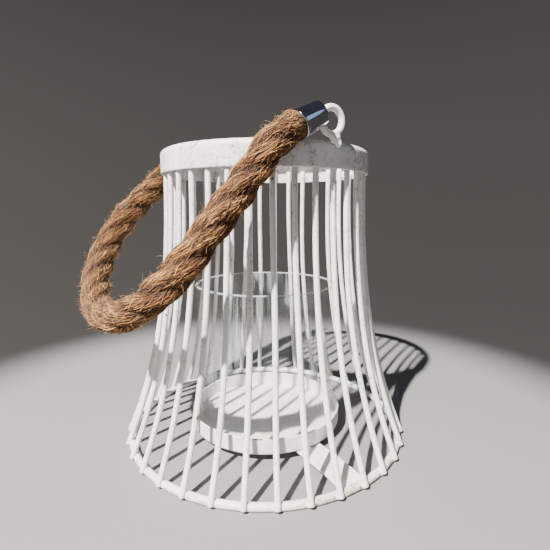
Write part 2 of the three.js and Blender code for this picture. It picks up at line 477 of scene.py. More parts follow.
ropeMiddle = evenly(curveThrough(rope["route"]), rope["step"])
ropeFrames = framesAlong(ropeMiddle)
ropeStep = (ropeMiddle[1] - ropeMiddle[0]).length
ropeRadius = rope["diameter"] / 2 - rope["skinGap"]
handleRope = addJute("jute_rope", *ropeSkin(ropeMiddle, ropeRadius, True), ["rope_handle"])
print("rope made:", len(ropeMiddle), "rings")

# Handle's frame: the line through both eyelets, which is the swing's axis

handle = {
    "tilt": 28,  # degrees below level
    "rise": 0.0073,  # ferrule's axis above the eyelet's middle
    "start": 0.0066,  # open end past the eyelet's middle
}

swing = next(joint for joint in frame["record"]["behaviour"]["joints"] if joint["type"] == "hinge")
backward = Vector(swing["axis"]).normalized()
outward = Vector((-backward.y, backward.x, 0))
tilt = math.radians(handle["tilt"])
ferruleWay = outward * math.cos(tilt) - up * math.sin(tilt)
ferruleLift = outward * math.sin(tilt) + up * math.cos(tilt)

# Eyelets' sizes

eyelet = {
    "wire": 0.0045,
    "hole": 0.0117,
    "bandGap": 0.0003,
    "height": swing["pos_m"][2],
    "shankReach": 0.0172,  # from the ring's middle to the blunt end
    "shankLean": 24,  # degrees from plumb, away from the handle
    "weld": (0.0040, 0.0026, 0.0042),
    "weldDrop": 0.0018,
    "weldAside": 0.0013,  # towards the handle
    "weldSteps": (12, 20),
    "ringSteps": (72, 24),
    "shankSteps": 24,
    "voxel": 0.0003,
    "softening": 18,
}
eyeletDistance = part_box("cap_ring")[1].x + eyelet["bandGap"] + eyelet["wire"] / 2


def eyeletMiddle(side):
    return backward * side * eyeletDistance + up * eyelet["height"]


def alongFerrule(side, distance):
    start = eyeletMiddle(side) + ferruleLift * handle["rise"] + ferruleWay * handle["start"]
    return start + ferruleWay * distance


# Ferrules

ferrule = {
    "length": 0.0184,
    "mouth": 0.0184,
    "end": 0.0158,
    "wall": 0.0009,
    "lip": 0.0004,
    "lipWidth": 0.0016,
    "wireClearance": 0.00045,
    "ropeStart": 0.0048,
    "ropeGap": 0.0004,
    "sharpAngle": 38,  # degrees
    "steps": 96,
    "holeSteps": (96, 32),
}
chrome = {
    "bright": (0.56, 0.57, 0.60),
    "dull": (0.47, 0.47, 0.49),
    "haze": (0.04, 0.13),  # roughness, clean and hazy
    "waviness": 0.06,
}


def chromeMaterial():
    material, tree, shader = startMaterial("polishedChrome")
    place = objectPlace(tree)
    tint = blendColour(tree, noiseOf(tree, place, 260, 3), chrome["bright"], chrome["dull"])
    haze = stretch(tree, noiseOf(tree, place, 420, 5), 0.42, 0.72, *chrome["haze"])
    tree.links.new(tint, shader.inputs["Base Color"])
    tree.links.new(haze, shader.inputs["Roughness"])
    shader.inputs["Metallic"].default_value = 1.0
    roughen(tree, shader, noiseOf(tree, place, 900, 3), chrome["waviness"], 0.0001)
    return material


chromeFinish = chromeMaterial()


def ferruleOutline():
    # closed outline of (radius, distance from the open end)
    neck = ferrule["length"] - ferrule["lipWidth"]
    mouth = ferrule["mouth"] / 2 - ferrule["lip"]
    end = ferrule["end"] / 2
    wall = ferrule["wall"]
    outline = arc((end - wall / 2, wall / 2), wall / 2, -180, 0, 6)
    outline.append((mouth, neck))
    # the rolled lip is a half round bead
    half = ferrule["lipWidth"] / 2
    for i in range(1, 12):
        angle = math.pi * i / 12
        outline.append(
            (mouth + ferrule["lip"] * math.sin(angle), neck + half - half * math.cos(angle))
        )
    outline.append((mouth, ferrule["length"]))
    outline.append((mouth - wall, ferrule["length"]))
    outline.append((mouth - wall, neck))
    return outline


def layAlong(points, side):
    # from about Z to about the ferrule's axis
    across = ferruleWay.cross(ferruleLift)
    start = alongFerrule(side, 0)
    return [start + ferruleLift * p.x + across * p.y + ferruleWay * p.z for p in points]


def torusAt(middle, around, ringRadius, wireRadius, ringSteps, wireSteps):
    # a torus about an axis through middle
    first = around.orthogonal().normalized()
    second = around.cross(first)
    points = []
    for i in range(ringSteps):
        turn = 2 * math.pi * i / ringSteps
        out = turned(first, second, turn)
        for j in range(wireSteps):
            way = turned(out, around, 2 * math.pi * j / wireSteps)
            points.append(middle + out * ringRadius + way * wireRadius)
    return points, stitchRings(ringSteps, wireSteps, closed=True)


def bakeModifiers(piece):
    # keeps the shape that the modifiers give and drops the modifiers
    graph = bpy.context.evaluated_depsgraph_get()
    mesh = bpy.data.meshes.new_from_object(piece.evaluated_get(graph))
    piece.modifiers.clear()
    piece.data = mesh
    mesh.polygons.foreach_set("use_smooth", [True] * len(mesh.polygons))


def addFerrule(place, side):
    points, faces = revolve(ferruleOutline(), ferrule["steps"])
    name = f"chrome_ferrule_{place}"
    piece = addPiece(
        name, layAlong(points, side), faces, chromeFinish, "handle", "ferrule_chrome",
        [f"ferrule_{place}"],
    )
    ringRadius = (eyelet["hole"] + eyelet["wire"]) / 2
    cutRadius = eyelet["wire"] / 2 + ferrule["wireClearance"]
    cutter = addMesh(
        "hole",
        *torusAt(eyeletMiddle(side), backward, ringRadius, cutRadius, *ferrule["holeSteps"]),
    )
    cut = piece.modifiers.new("hole", "BOOLEAN")
    cut.operation = "DIFFERENCE"
    cut.solver = "EXACT"
    cut.object = cutter
    bakeModifiers(piece)
    bpy.data.objects.remove(cutter)
    piece.data.set_sharp_from_angle(angle=math.radians(ferrule["sharpAngle"]))
    return piece


def addRopeEnd(place, side):
    # the bound end inside the ferrule
    radius = ferrule["end"] / 2 - ferrule["wall"] - ferrule["ropeGap"]
    ends = [alongFerrule(side, ferrule[key]) for key in ("ropeStart", "length")]
    skin = ropeSkin(evenly(ends, rope["step"]), radius, False)
    return addJute(f"bound_rope_end_{place}", *skin, [f"rope_end_{place}"])


for place, side in (("front", -1), ("rear", 1)):
    addFerrule(place, side)
    addRopeEnd(place, side)

print("ferrules and rope ends made")

# Fibres that lie on the rope, and loose ones that stand off it

fibres = {
    "count": 6000,
    "shortest": 0.006,
    "longest": 0.024,
    "thinnest": 0.00020,
    "thickest": 0.00058,
    "taper": 0.6,  # how much thinner the ends are
    "lift": 0.00050,
    "liftRange": (0.2, 1.6),
    "tuck": 0.00012,  # how deep the ends are tucked in
    "wobble": 0.09,  # radians round the rope
    "turnSpread": 0.24,
    "shade": (0.44, 0.27),  # mean and spread
    # share of the painted groove shade that a lying fibre gets
    "grooveShadeShare": 0.8,
    "margin": 0.001,  # from a ferrule
    "atEnds": 0.05,  # share that starts right at a ferrule
    "endMargin": 0.0002,
    "knots": 9,
    "seed": 7,
}
hairs = {
    "count": 7000,
    "shortest": 0.0015,
    "longest": 0.007,
    "thickness": 0.00013,
    "margin": 0.002,
    "root": 0.0003,  # how deep the root lies
    "lean": (0.4, 1.5),  # along the rope
    "rise": (0.25, 1.2),
    "aside": 0.7,
    "droop": 0.16,
    "drift": 0.14,
    "shade": (0.35, 0.95),
    "knots": 5,
    "seed": 11,
}


def onRope(run, angle):
    # a point on the rope's skin, the way out from there, and the painted groove shade there
    i = min(int(run / ropeStep), len(ropeMiddle) - 2)
    middle = ropeMiddle[i].lerp(ropeMiddle[i + 1], run / ropeStep - i)
    way, side, other = ropeFrames[i]
    out = turned(side, other, angle)
    toEnd = min(run, rope["length"] - run)
    reach, groove = ropeSkinAt(run, angle, ropeRadius, toEnd)
    return middle + out * reach, out, way, groove


def addFibre(made, line, thickness, shade, grooveShades):
    # a three-sided thread along a line, thin at both ends
    points, faces, layers = made
    thread = []
    last = len(line) - 1
    side = (line[1] - line[0]).orthogonal()
    for k, spot in enumerate(line):
        way = (line[min(k + 1, last)] - line[max(k - 1, 0)]).normalized()
        side = (side - way * side.dot(way)).normalized()
        other = way.cross(side)
        thick = thickness / 2 * (1 - fibres["taper"] * abs(2 * k / last - 1) ** 3)
        for corner in range(3):
            thread.append(spot + turned(side, other, 2 * math.pi * corner / 3) * thick)
            # each fibre has its own part of the noise
            place = (len(points) * 0.00037, corner * 0.0003, k * 0.0006)
            layers["fibreRun"].append(Vector(place))
            layers["groove"].append(grooveShades[k])
            layers["shade"].append(shade)
    gather(points, faces, thread, stitchRings(len(line), 3))


def addLyingFibres():
    draw = random.Random(fibres["seed"])
    made = ([], [], emptyLayers())
    for _ in range(fibres["count"]):
        length = draw.uniform(fibres["shortest"], fibres["longest"])
        margin = fibres["margin"]
        start = draw.uniform(margin, rope["length"] - length - margin)
        if draw.random() < fibres["atEnds"]:
            length = fibres["shortest"]
            margin = fibres["endMargin"]
            start = draw.choice((margin, rope["length"] - length - margin))
        angle = draw.uniform(0, 2 * math.pi)
        turn = rope["fibreTurn"] + draw.gauss(0, fibres["turnSpread"])
        phase = draw.uniform(0, 2 * math.pi)
        lift = fibres["lift"] * draw.uniform(*fibres["liftRange"])
        line = []
        grooveShades = []
        for k in range(fibres["knots"]):
            t = k / (fibres["knots"] - 1)
            run = start + length * t
            bend = fibres["wobble"] * math.sin(5 * t + phase)
            spot, out, _, groove = onRope(
                run, angle + turn * 2 * math.pi * length * t / rope["lay"] + bend
            )
            line.append(spot + out * (lift * math.sin(math.pi * t) ** 0.5 - fibres["tuck"]))
            # painted shade: a fibre lying in a groove is darkened with it
            grooveShades.append(groove * fibres["grooveShadeShare"])
        shade = min(0.98, max(0.05, draw.gauss(*fibres["shade"])))
        addFibre(made, line, draw.uniform(fibres["thinnest"], fibres["thickest"]), shade, grooveShades)
    addJute("jute_fibres", *made)


def addHairs():
    draw = random.Random(hairs["seed"])
    made = ([], [], emptyLayers())
    for _ in range(hairs["count"]):
        run = draw.uniform(hairs["margin"], rope["length"] - hairs["margin"])
        spot, out, way, _ = onRope(run, draw.uniform(0, 2 * math.pi))
        lean = draw.choice((-1, 1)) * draw.uniform(*hairs["lean"])
        across = way.cross(out) * draw.uniform(-hairs["aside"], hairs["aside"])
        heading = (out * draw.uniform(*hairs["rise"]) + way * lean + across).normalized()
        length = hairs["shortest"]
        length += (hairs["longest"] - hairs["shortest"]) * draw.random() ** 2
        droop = draw.uniform(0.0, hairs["droop"])
        line = [spot - out * hairs["root"]]
        for _ in range(hairs["knots"] - 1):
            line.append(line[-1] + heading * length / (hairs["knots"] - 1))
            drift = Vector((draw.gauss(0, 1), draw.gauss(0, 1), draw.gauss(0, 1)))
            heading = (heading - out * droop + drift * hairs["drift"]).normalized()
        shade = draw.uniform(*hairs["shade"])
        addFibre(made, line, hairs["thickness"], shade, [0.0] * len(line))
    addJute("jute_loose_fibres", *made)


addLyingFibres()
addHairs()
print("fibres made")

# White paint

paint = {
    "white": (0.77, 0.76, 0.74),
    "shade": (0.60, 0.585, 0.555),
    "smudge": (0.27, 0.24, 0.205),
    "ochre": (0.50, 0.34, 0.19),
    "rust": (0.15, 0.065, 0.028),
    "mottleScale": 50,
    "smudgeScale": 70,
    "speckScale": 380,
    "scratchScale": 75,
    "scratchBend": 0.006,
    "scratchWidth": (0.006, 0.022),  # sharp middle and soft border, in cells
    "scratchPatchScale": 33,
    "chipScale": 520,
    "chipUnevenness": 0.22,
    "yellowing": (0.25, 0.75),  # wear where it starts and where it is full
    "chipping": (0.62, 0.74),
    "roughness": (0.36, 0.58),
    "relief": 0.3,
}


def paintMaterial(name, smudges, scratches, stain):
    # the piece's wear says where the paint is rubbed: first it yellows, then it chips off
    material, tree, shader = startMaterial(name)
    place = objectPlace(tree)
    wear = attributeOf(tree, "wear")
    mottle = noiseOf(tree, place, paint["mottleScale"], 6, 0.6)
    colour = blendColour(tree, stretch(tree, mottle, 0.48, 0.74), paint["white"], paint["shade"])
    smudge = noiseOf(tree, place, paint["smudgeScale"], 7, 0.72)
    smudgeMask = stretch(tree, smudge, 0.51, 0.67, 0.0, smudges)
    colour = blendColour(tree, smudgeMask, colour, paint["smudge"])
    # fine dark specks, gathered where the smudges are
    specks = noiseOf(tree, place, paint["speckScale"], 3, 0.5)
    dirty = stretch(tree, smudge, 0.44, 0.56, 0.0, min(0.9, 1.6 * smudges))
    speckMask = calculate(tree, "MULTIPLY", stretch(tree, specks, 0.56, 0.64), dirty)
    colour = blendColour(tree, speckMask, colour, paint["smudge"])
    # hair-thin scratches along the borders of bent cells, in some places only
    spread = addNode(tree, "VectorMath", {0: place, 1: (1, 1, 0.55)}, operation="MULTIPLY")
    bend = swayOf(tree, noiseOf(tree, place, 28, 2), paint["scratchBend"])
    shifted = addNode(tree, "VectorMath", {0: spread.outputs[0], 1: bend}, operation="ADD")
    cells = addNode(
        tree, "TexVoronoi", {"Vector": shifted.outputs[0], "Scale": paint["scratchScale"]},
        feature="DISTANCE_TO_EDGE",
    ).outputs["Distance"]
    line = stretch(tree, cells, *paint["scratchWidth"], 1.0, 0.0)
    patches = noiseOf(tree, place, paint["scratchPatchScale"], 4)
    patch = stretch(tree, patches, 0.51, 0.60, 0.0, scratches)
    scratch = calculate(tree, "MULTIPLY", line, patch)
    colour = blendColour(tree, scratch, colour, paint["smudge"])
    chips = noiseOf(tree, place, paint["chipScale"], 4, 0.6)
    rubbed = calculate(tree, "ADD", wear, swayOf(tree, chips, paint["chipUnevenness"]))
    yellowed = stretch(tree, rubbed, *paint["yellowing"], 0.0, stain)
    colour = blendColour(tree, yellowed, colour, paint["ochre"])
    bare = stretch(tree, rubbed, *paint["chipping"])
    colour = blendColour(tree, bare, colour, paint["rust"])
    tree.links.new(colour, shader.inputs["Base Color"])
    gloss = stretch(tree, mottle, 0.3, 0.8, *paint["roughness"])
    tree.links.new(gloss, shader.inputs["Roughness"])
    peel = noiseOf(tree, place, 650, 3)
    height = calculate(tree, "SUBTRACT", peel, calculate(tree, "ADD", bare, scratch))
    roughen(tree, shader, height, paint["relief"], 0.00025)
    return material


def spotWear(point, spots):
    # rubbed spots given as (azimuth in degrees, height, radius, strength)
    azimuth = math.degrees(math.atan2(point.x, -point.y))
    distance = Vector((point.x, point.y)).length
    worn = 0.0
    for spotAzimuth, height, radius, strength in spots:
        aside = (azimuth - spotAzimuth + 180) % 360 - 180
        across = math.radians(aside) * distance
        gone = math.hypot(across, (point.z - height) * 1.3) / radius  # wider than high
        worn = max(worn, strength * (1 - smooth(gone)))
    return worn


capFinish = paintMaterial("capPaint", smudges=0.48, scratches=1.0, stain=0.40)
wireFinish = paintMaterial("wirePaint", smudges=0.32, scratches=0.0, stain=0.45)
baseFinish = paintMaterial("basePaint", smudges=0.36, scratches=0.35, stain=0.75)
trayFinish = paintMaterial("trayPaint", smudges=0.12, scratches=0.25, stain=0.45)
eyeletFinish = paintMaterial("eyeletPaint", smudges=0.16, scratches=0.0, stain=0.40)

# Cap

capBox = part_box("cap_ring")
cap = {
    "radius": capBox[1].x,
    "top": capBox[1].z,
    "bottom": capBox[0].z,
    "sheet": 0.0012,
    "corner": 0.004,
    "flange": 0.009,
    "outOfRound": 0.00018,
    "edgeWear": 1.5,
    "rubbedHeight": 0.0016,  # above the band's lower edge
    "rubbedWidth": 0.0014,  # from the flange's edge
    "steps": 288,
    "spots": [  # rubbed spots: azimuth, height, radius, strength
        (42, 0.2165, 0.0085, 0.62),
        (38, 0.2150, 0.0035, 0.78),
        (21, 0.2140, 0.0065, 0.70),
        (-47, 0.2125, 0.0030, 0.60),
        (-63, 0.2118, 0.0025, 0.80),
        (118, 0.2150, 0.0045, 0.75),
        (171, 0.2120, 0.0040, 0.85),
        (236, 0.2180, 0.0050, 0.65),
    ],
}


def addCap():
    sheet = cap["sheet"]
    edge = sheet / 2
    shoulder = (cap["radius"] - cap["corner"], cap["top"] - cap["corner"])
    lip = cap["radius"] - cap["flange"] + edge
    outline = arc((cap["radius"] - edge, cap["bottom"] + edge), edge, -180, 0, 6)
    for i in range(1, 8):
        outline.append((cap["radius"], cap["bottom"] + (shoulder[1] - cap["bottom"]) * i / 8))
    outline += arc(shoulder, cap["corner"], 0, 90, 12)
    outline += arc((lip, cap["top"] - edge), edge, 90, 270, 6)
    outline += arc(shoulder, cap["corner"] - sheet, 90, 0, 10)
    points, faces = revolve(outline, cap["steps"])
    wear = []
    for point in points:
        radius = Vector((point.x, point.y)).length
        low = max(0.0, 1 - (point.z - cap["bottom"]) / cap["rubbedHeight"])
        rim = max(0.0, 1 - (radius - lip + edge) / cap["rubbedWidth"])
        patch = max(0.0, wander(point, 34, 3.0) - 0.12)
        spots = spotWear(point, cap["spots"]) if radius > shoulder[0] else 0.0
        wear.append(min(1.0, max(spots, cap["edgeWear"] * patch * max(low, rim))))
        # the pressed band isn't quite round
        out = Vector((point.x, point.y, 0)).normalized()
        point += out * cap["outOfRound"] * wander(point, 45, 1.0)
    addPiece("cap_band", points, faces, capFinish, "cage", "cap_paint", ["cap_ring"], wear=wear)


addCap()
print("cap made")

# Wires

wireCount = sum(name.startswith("wire_") for name in frame["nodes"])
wires = {
    "radius": 0.002,
    "footRadius": 0.115,
    "footHeight": 0.0023,
    "flareAngle": 24,  # degrees, at the foot
    "flareReach": 0.085,
    "neckReach": 0.060,
    "firstAzimuth": -7,  # degrees from the front
    "bandGap": 0.0003,
    "sides": 16,
    "steps": 64,
    "sway": 0.0010,
    "coat": 0.045,  # unevenness of the paint, as a share of the radius
    "footWear": 0.42,
    "wornHeight": 0.008,
    "specks": 2.6,
    "seed": 5,
}


def wireOut(number):
    azimuth = math.radians(wires["firstAzimuth"]) + 2 * math.pi * number / wireCount
    return Vector((math.sin(azimuth), -math.cos(azimuth), 0))


def wireMiddle(out):
    # down the wire, from inside the band to the foot
    angle = math.radians(wires["flareAngle"])
    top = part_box("wire_01")[1].z
    topRadius = cap["radius"] - cap["sheet"] - wires["bandGap"] - wires["radius"]
    foot = (wires["footRadius"], wires["footHeight"])
    corners = [
        (topRadius, top),
        (topRadius, top - wires["neckReach"]),
        (
            foot[0] - math.sin(angle) * wires["flareReach"],
            foot[1] + math.cos(angle) * wires["flareReach"],
        ),
        foot,
    ]
    path = []
    for i in range(wires["steps"] + 1):
        t = i / wires["steps"]
        weights = ((1 - t) ** 3, 3 * t * (1 - t) ** 2, 3 * t * t * (1 - t), t**3)
        radius = sum(weight * corner[0] for weight, corner in zip(weights, corners))
        height = sum(weight * corner[1] for weight, corner in zip(weights, corners))
        path.append(out * radius + up * height)
    return path


def addWire(number, draw):
    out = wireOut(number - 1)
    path = wireMiddle(out)
    across = up.cross(out)
    phase = draw.uniform(0, 2 * math.pi)
    sway = draw.uniform(-1, 1) * wires["sway"]
    sides = wires["sides"]
    points = []
    wear = []
    frames = framesAlong(path)
    last = len(path) - 1
    # rings of the wire, each with its share of the radius and its setback from the end
    rings = [(0, 0.75, 0.0)] + [(i, 1.0, 0.0) for i in range(last)]
    rings += [(last, 1.0, 0.0007), (last, 0.88, 0.0002), (last, 0.62, 0.0)]
    for i, share, setback in rings:
        t = i / wires["steps"]
        wave = math.sin(math.pi * t) * math.sin(5 * t + phase)
        way, side, other = frames[i]
        middle = path[i] + across * sway * wave - way * setback
        for j in range(sides):
            around = turned(side, other, 2 * math.pi * j / sides)
            coat = 1 + wires["coat"] * wander(middle + around * 0.004, 240, number * 0.7)
            points.append(middle + around * wires["radius"] * share * coat)
            low = max(0.0, 1 - middle.z / wires["wornHeight"])
            worn = wires["footWear"] * low * (0.5 + wander(middle, 90, number))
            speck = max(0.0, wander(middle + around * 0.003, 170, number * 1.3) - 0.50)
            wear.append(min(1.0, worn + wires["specks"] * speck))
    faces = stitchRings(len(rings), sides)
    addPiece(
        f"cage_wire_{number:02d}", points, faces, wireFinish, "cage", "wire_paint",
        [f"wire_{number:02d}"], wear=wear,
    )


wireDraw = random.Random(wires["seed"])
for number in range(1, wireCount + 1):
    addWire(number, wireDraw)
print("wires made:", wireCount)

# Base ring and weld beads

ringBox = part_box("base_ring")
baseRing = {
    "rod": (ringBox[1].z - ringBox[0].z) / 2,
    "middle": ringBox[1].x - (ringBox[1].z - ringBox[0].z) / 2,
    "height": (ringBox[1].z + ringBox[0].z) / 2,
    "steps": 408,
    "sides": 20,
    "coat": 0.00016,  # unevenness of the thick paint
    "wear": 0.24,
    "dragAzimuth": 33,  # where it has been dragged
    "dragSpread": 30,
    "dragWear": 0.42,
    "patchWear": 0.42,
    "mostWear": 0.58,
}
footBeads = {
    "size": (0.0027, 0.0020, 0.0023),  # along the ring, outwards and up
    "outwards": 0.62,  # of the rod's radius
    "rise": 0.0002,
    "aside": 0.0009,  # the weld lies more on one side of the wire
}
capBeads = {
    "size": (0.0026, 0.0009, 0.0030),
    "inwards": 0.0006,
    "rise": 0.0045,
}


def addBaseRing():
    points, faces = torusAt(
        up * baseRing["height"], up, baseRing["middle"], baseRing["rod"],
        baseRing["steps"], baseRing["sides"],
    )
    wear = []
    for point in points:
        flat = Vector((point.x, point.y, 0))
        out = flat.normalized()
        azimuth = math.degrees(math.atan2(point.x, -point.y))
        outer = max(0.0, (flat.length - baseRing["middle"]) / baseRing["rod"])
        aside = (azimuth - baseRing["dragAzimuth"]) / baseRing["dragSpread"]
        scuffed = baseRing["wear"] + baseRing["dragWear"] * math.exp(-(aside**2))
        worn = scuffed * (0.5 + 0.5 * outer) + baseRing["patchWear"] * wander(point, 60, 6.0)
        wear.append(min(baseRing["mostWear"], max(0.0, worn)))
        around = flat - out * baseRing["middle"] + up * (point.z - baseRing["height"])
        inward = -around.normalized() * baseRing["coat"]
        point += inward * max(0.0, 0.6 + wander(point, 150, 2.0))
    addPiece(
        "foot_ring", points, faces, baseFinish, "cage", "base_paint", ["base_ring"], wear=wear
    )


def blobAt(middle, axes, sizes, seed, rows=8, columns=14, unevenness=0.16):
    # an uneven bead of weld under paint
    points = [middle + axes[2] * sizes[2]]
    for i in range(1, rows):
        tip = math.pi * i / rows
        for j in range(columns):
            turn = 2 * math.pi * j / columns
            way = Vector(
                (math.sin(tip) * math.cos(turn), math.sin(tip) * math.sin(turn), math.cos(tip))
            )
            size = 1 + unevenness * wander(way, 1.6, seed)
            spot = middle.copy()
            for axis, half, part in zip(axes, sizes, way):
                spot += axis * half * part * size
            points.append(spot)
    points.append(middle - axes[2] * sizes[2])
    faces = []
    last = len(points) - 1
    for j in range(columns):
        k = (j + 1) % columns
        faces.append((0, 1 + j, 1 + k))
        faces.append((last, last - columns + k, last - columns + j))
        for i in range(rows - 2):
            here = 1 + i * columns
            after = here + columns
            faces.append((here + j, after + j, after + k, here + k))
    return points, faces


def addBeads(name, beads, finish, slot):
    # beads are (middle, way out from the lantern, sizes)
    points = []
    faces = []
    for number, (middle, out, sizes) in enumerate(beads):
        gather(points, faces, *blobAt(middle, (up.cross(out), out, up), sizes, number * 0.9))
    wear = [min(0.5, max(0.0, 0.1 + 0.6 * wander(point, 60, 1.0))) for point in points]
    addPiece(name, points, faces, finish, "cage", slot, wear=wear)


def footBead(out):
    distance = baseRing["middle"] + baseRing["rod"] * footBeads["outwards"]
    middle = out * distance + up * (baseRing["height"] + footBeads["rise"])
    return middle - up.cross(out) * footBeads["aside"], out, footBeads["size"]


def capBead(out):
    distance = cap["radius"] - cap["sheet"] - capBeads["inwards"]
    return out * distance + up * (cap["bottom"] + capBeads["rise"]), out, capBeads["size"]


addBaseRing()
wireOuts = [wireOut(number) for number in range(wireCount)]
addBeads("foot_welds", [footBead(out) for out in wireOuts], baseFinish, "base_paint")
addBeads("cap_welds", [capBead(out) for out in wireOuts], capFinish, "cap_paint")
print("base ring and weld beads made")

# Tray and strap

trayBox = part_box("tray")
tray = {
    "radius": trayBox[1].x,
    "bottom": trayBox[0].z,
    "top": trayBox[1].z,
    "sheet": 0.0012,
    "corner": 0.0018,
    "steps": 240,
    "wornDepth": 0.0022,
    "spots": [  # rubbed spots along the rim's top edge
        (-13, 0.0193, 0.0060, 1.3),
        (-5, 0.0193, 0.0080, 1.3),
        (5, 0.0193, 0.0080, 1.0),
        (-31, 0.0193, 0.0030, 0.62),
        (64, 0.0193, 0.0060, 0.66),
        (140, 0.0193, 0.0080, 0.72),
        (158, 0.0193, 0.0090, 0.80),
        (225, 0.0193, 0.0050, 0.60),
    ],
}
strap = {
    "width": 0.021,
    "sheet": 0.0016,
    "azimuth": 32,  # degrees from the front
    "endLength": 0.0193,  # from each bend to the middle of the base ring
    "bendReach": 0.004,  # length over which each bend eases
    "edge": 0.0003,
    "top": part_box("tray_strap")[1].z,
    "ringGap": 0.0003,
    "sharpAngle": 40,  # degrees
    "steps": 160,
    "beadOffsets": (-0.0075, -0.0025, 0.0030, 0.0078),
    "beadSize": (0.0030, 0.0011, 0.0009),
    "beadRise": 0.0007,
}


def addTray():
    sheet = tray["sheet"]
    edge = sheet / 2
    bend = (tray["radius"] - tray["corner"], tray["bottom"] + tray["corner"])
    outline = [(0, tray["bottom"])]
    outline += [(bend[0] * i / 8, tray["bottom"]) for i in range(1, 8)]
    outline += arc(bend, tray["corner"], -90, 0, 8)
    for i in range(1, 10):
        outline.append((tray["radius"], bend[1] + (tray["top"] - edge - bend[1]) * i / 10))
    outline += arc((tray["radius"] - edge, tray["top"] - edge), edge, 0, 180, 8)
    outline += arc(bend, tray["corner"] - sheet, 0, -90, 6)
    outline += [(bend[0] * i / 8, tray["bottom"] + sheet) for i in range(7, 0, -1)]
    outline.append((0, tray["bottom"] + sheet))
    points, faces = revolve(outline, tray["steps"])
    wear = []
    for point in points:
        rim = max(0.0, 1 - (tray["top"] - point.z) / tray["wornDepth"])
        patch = max(0.0, wander(point, 48, 8.0) - 0.1)
        wear.append(min(1.0, rim * max(spotWear(point, tray["spots"]), patch)))
    addPiece("glass_tray", points, faces, trayFinish, "cage", "tray_paint", ["tray"], wear=wear)


def strapLevel(distance):
    # height of the strap's top face at a distance from the middle
    drop = strap["top"] - baseRing["height"] - strap["sheet"] / 2
    past = abs(distance) - (baseRing["middle"] - strap["endLength"])
    slope = drop / strap["endLength"]
    if past < -strap["bendReach"] / 2:
        return strap["top"]
    if past < strap["bendReach"] / 2:
        eased = past + strap["bendReach"] / 2
        return strap["top"] - slope * eased**2 / (2 * strap["bendReach"])
    return strap["top"] - slope * past


def strapAxes():
    azimuth = math.radians(strap["azimuth"])
    along = Vector((math.sin(azimuth), -math.cos(azimuth), 0))
    return along, up.cross(along)


def addStrap():
    along, across = strapAxes()
    half = strap["width"] / 2
    edge = strap["edge"]
    reach = baseRing["middle"] - baseRing["rod"] - strap["ringGap"]
    offsets = [-half, -half + edge, -half / 2, 0, half / 2, half - edge, half]
    rings = []
    for i in range(strap["steps"] + 1):
        share = 2 * i / strap["steps"] - 1
        ring = []
        for lower, order in ((False, offsets), (True, offsets[::-1])):
            for offset in order:
                distance = math.sqrt(reach**2 - offset**2) * share
                inset = edge if abs(offset) > half - edge / 2 else 0.0
                height = strapLevel(distance) - inset
                if lower:
                    height = strapLevel(distance) - strap["sheet"] + inset
                ring.append(along * distance + across * offset + up * height)
        rings.append(ring)
    points = [point for ring in rings for point in ring]
    faces = stitchRings(len(rings), len(rings[0]))
    wear = [max(0.0, 0.5 * wander(point, 60, 2.0) - 0.05) for point in points]
    piece = addPiece(
        "strap", points, faces, trayFinish, "cage", "tray_paint", ["tray_strap"], wear=wear
    )
    piece.data.set_sharp_from_angle(angle=math.radians(strap["sharpAngle"]))


def strapBeads():
    # welds between the strap's ends and the ring
    along, across = strapAxes()
    beads = []
    for end in (-1, 1):
        for offset in strap["beadOffsets"]:
            distance = math.sqrt((baseRing["middle"] - baseRing["rod"]) ** 2 - offset**2) * end
            middle = along * distance + across * offset
            middle += up * (baseRing["height"] + strap["beadRise"])
            beads.append((middle, along * end, strap["beadSize"]))
    return beads


addTray()
addStrap()
addBeads("strap_welds", strapBeads(), baseFinish, "base_paint")
print("tray and strap made")

# Glass

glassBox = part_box("glass_cylinder")
glass = {
    "radius": glassBox[1].x,
    "bottom": glassBox[0].z,
    "top": glassBox[1].z,
    "wall": 0.003,
    "base": 0.006,
    "heel": 0.003,
    "floorRound": 0.002,  # where the wall meets the floor inside
    "rimDepth": 0.0009,  # band at the rim shown more opaque, a painted highlight for the light a polished rim gathers
    "rimFade": 0.0004,
    "paintedRimHighlight": 0.5,
    "tint": (0.62, 0.68, 0.65),
    "transmission": 0.25,
    "ior": 1.45,
    "veil": (0.012, 0.55),  # how much of the wall shows, face on and edge on
    "edgeSharpness": 5.0,
    "steps": 192,
}


def glassMaterial():
    material, tree, shader = startMaterial("clearGlass")
    place = objectPlace(tree)
    film = noiseOf(tree, place, 34, 5, 0.6)
    tree.links.new(stretch(tree, film, 0.55, 0.9, 0.0, 0.06), shader.inputs["Roughness"])
    shader.inputs["Base Color"].default_value = (*glass["tint"], 1)
    shader.inputs["Transmission Weight"].default_value = glass["transmission"]
    shader.inputs["IOR"].default_value = glass["ior"]
    facing = addNode(tree, "LayerWeight", {"Blend": 0.5}).outputs["Facing"]
    edge = calculate(tree, "POWER", facing, glass["edgeSharpness"])
    veil = stretch(tree, edge, 0.0, 1.0, *glass["veil"])
    # the rim band shows more of the pale surface: a painted highlight
    body = calculate(tree, "MAXIMUM", veil, attributeOf(tree, "rim"))
    tree.links.new(body, shader.inputs["Alpha"])
    roughen(tree, shader, noiseOf(tree, place, 22, 2), 0.04, 0.001)
    return material


